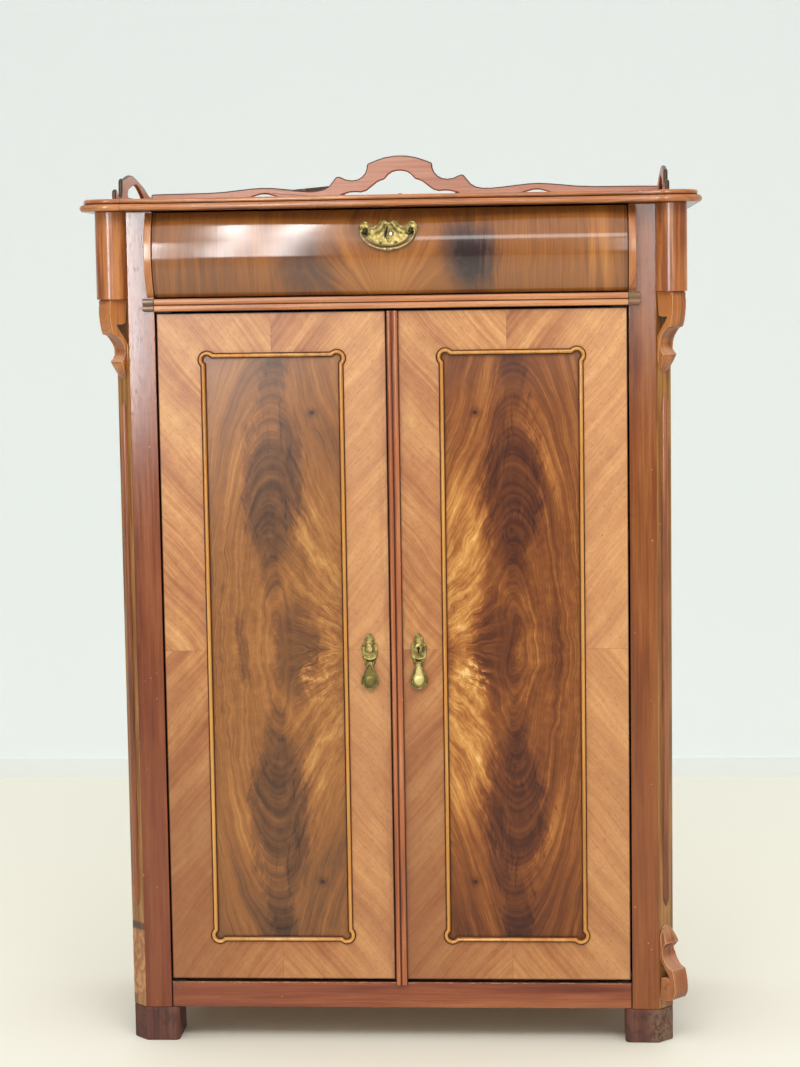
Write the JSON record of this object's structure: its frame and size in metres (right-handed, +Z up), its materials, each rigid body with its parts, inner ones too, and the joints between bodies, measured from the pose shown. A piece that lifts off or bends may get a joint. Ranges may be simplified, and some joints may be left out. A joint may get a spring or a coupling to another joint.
{
  "type": "parlour cupboard",
  "caption": "Tall mahogany parlour cupboard: paired doors with framed panels, bulged drawer, moulded top with round ears, fretwork gallery, carved scrolls and block feet.",
  "frame": {"origin": "centre of the cupboard's footprint box on the floor", "axes": "+Z up, -Y out of the front, +X towards the right door as seen from the front"},
  "size_m": [1.0488, 0.4599, 1.5493],
  "materials": {
    "stile_veneer": "red-brown mahogany veneer, worn shellac",
    "border_veneer": "orange-tan diagonal mahogany veneer, shellac",
    "flame_veneer": "flame mahogany veneer, glossy shellac",
    "dark_strip": "dark red-brown, polished",
    "amber_mahogany": "amber-brown solid mahogany, polished",
    "gallery_mahogany": "brown mahogany, thin shellac",
    "inside_softwood": "plain unfinished softwood",
    "aged_brass": "stamped brass, lightly tarnished",
    "dark_steel": "dark plain steel"
  },
  "bodies": {
    "carcase": {"left_side_panel": "stile_veneer", "right_side_panel": "stile_veneer", "left_front_post": "stile_veneer", "right_front_post": "stile_veneer", "left_front_foot": "stile_veneer", "right_front_foot": "stile_veneer", "left_rear_foot": "inside_softwood", "right_rear_foot": "inside_softwood", "left_moulding_return": "amber_mahogany", "right_moulding_return": "amber_mahogany", "left_column_drum": "amber_mahogany", "right_column_drum": "amber_mahogany", "left_upper_bracket": "amber_mahogany", "right_upper_bracket": "amber_mahogany", "left_bead_rod": "dark_strip", "right_bead_rod": "dark_strip", "left_frieze_return": "amber_mahogany", "right_frieze_return": "amber_mahogany", "left_gallery_side": "gallery_mahogany", "right_gallery_side": "gallery_mahogany", "left_drawer_guide": "inside_softwood", "right_drawer_guide": "inside_softwood", "left_top_pivot": "aged_brass", "right_top_pivot": "aged_brass", "left_bottom_pivot": "aged_brass", "right_bottom_pivot": "aged_brass", "back_panel": "inside_softwood", "floor_board": "inside_softwood", "bottom_front_rail": "stile_veneer", "drawer_rail": "stile_veneer", "rail_moulding": "amber_mahogany", "dust_board": "inside_softwood", "upper_shelf": "inside_softwood", "lower_shelf": "inside_softwood", "top_board": "amber_mahogany", "right_lower_bracket": "amber_mahogany", "gallery_back": "gallery_mahogany"},
    "left_door": {"left_door_frame": "border_veneer", "left_door_panel": "flame_veneer", "left_panel_moulding": "amber_mahogany", "left_escutcheon": "aged_brass"},
    "right_door": {"right_door_frame": "border_veneer", "right_door_panel": "flame_veneer", "right_panel_moulding": "amber_mahogany", "right_escutcheon": "aged_brass", "centre_strip": "dark_strip", "door_lock_case": "dark_steel"},
    "drawer": {"drawer_front": "flame_veneer", "left_drawer_side": "inside_softwood", "right_drawer_side": "inside_softwood", "drawer_back": "inside_softwood", "drawer_bottom": "inside_softwood", "drawer_handle_plate": "aged_brass"},
    "left_drop": {"left_drop_pull": "aged_brass"},
    "right_drop": {"right_drop_pull": "aged_brass"},
    "right_door_lock_bolt": {"door_lock_bolt": "dark_steel"},
    "upper_sliding_bolt": {"left_top_bolt": "dark_steel"},
    "lower_sliding_bolt": {"left_bottom_bolt": "dark_steel"},
    "bail": {"drawer_bail": "aged_brass"},
    "drawer_bolt": {"drawer_lock_bolt": "dark_steel"}
  },
  "joints": [
    {"name": "left_door_hinge", "type": "hinge", "parent": "carcase", "child": "left_door", "pos_m": [-0.393, -0.17153, 0.69], "axis": [0, 0, -1], "range_deg": [0, 100]},
    {"name": "right_door_hinge", "type": "hinge", "parent": "carcase", "child": "right_door", "pos_m": [0.393, -0.17153, 0.69], "axis": [0, 0, 1], "range_deg": [0, 100]},
    {"name": "drawer_slide", "type": "slide", "parent": "carcase", "child": "drawer", "axis": [0, -1, 0], "range_m": [0, 0.28]},
    {"name": "left_drop_hinge", "type": "hinge", "parent": "left_door", "child": "left_drop", "pos_m": [-0.044, -0.18433, 0.6689], "axis": [-1, 0, 0], "range_deg": [0, 100]},
    {"name": "right_drop_hinge", "type": "hinge", "parent": "right_door", "child": "right_drop", "pos_m": [0.04, -0.18433, 0.6689], "axis": [-1, 0, 0], "range_deg": [0, 100]},
    {"name": "door_lock_throw", "type": "slide", "parent": "right_door", "child": "right_door_lock_bolt", "axis": [-1, 0, 0], "range_m": [0, 0.01]},
    {"name": "upper_bolt_throw", "type": "slide", "parent": "left_door", "child": "upper_sliding_bolt", "axis": [0, 0, 1], "range_m": [0, 0.014]},
    {"name": "lower_bolt_throw", "type": "slide", "parent": "left_door", "child": "lower_sliding_bolt", "axis": [0, 0, -1], "range_m": [0, 0.014]},
    {"name": "bail_hinge", "type": "hinge", "parent": "drawer", "child": "bail", "pos_m": [0, -0.20703, 1.403], "axis": [-1, 0, 0], "range_deg": [0, 110]},
    {"name": "drawer_lock_throw", "type": "slide", "parent": "drawer", "child": "drawer_bolt", "axis": [0, 0, 1], "range_m": [0, 0.012]}
  ]
}
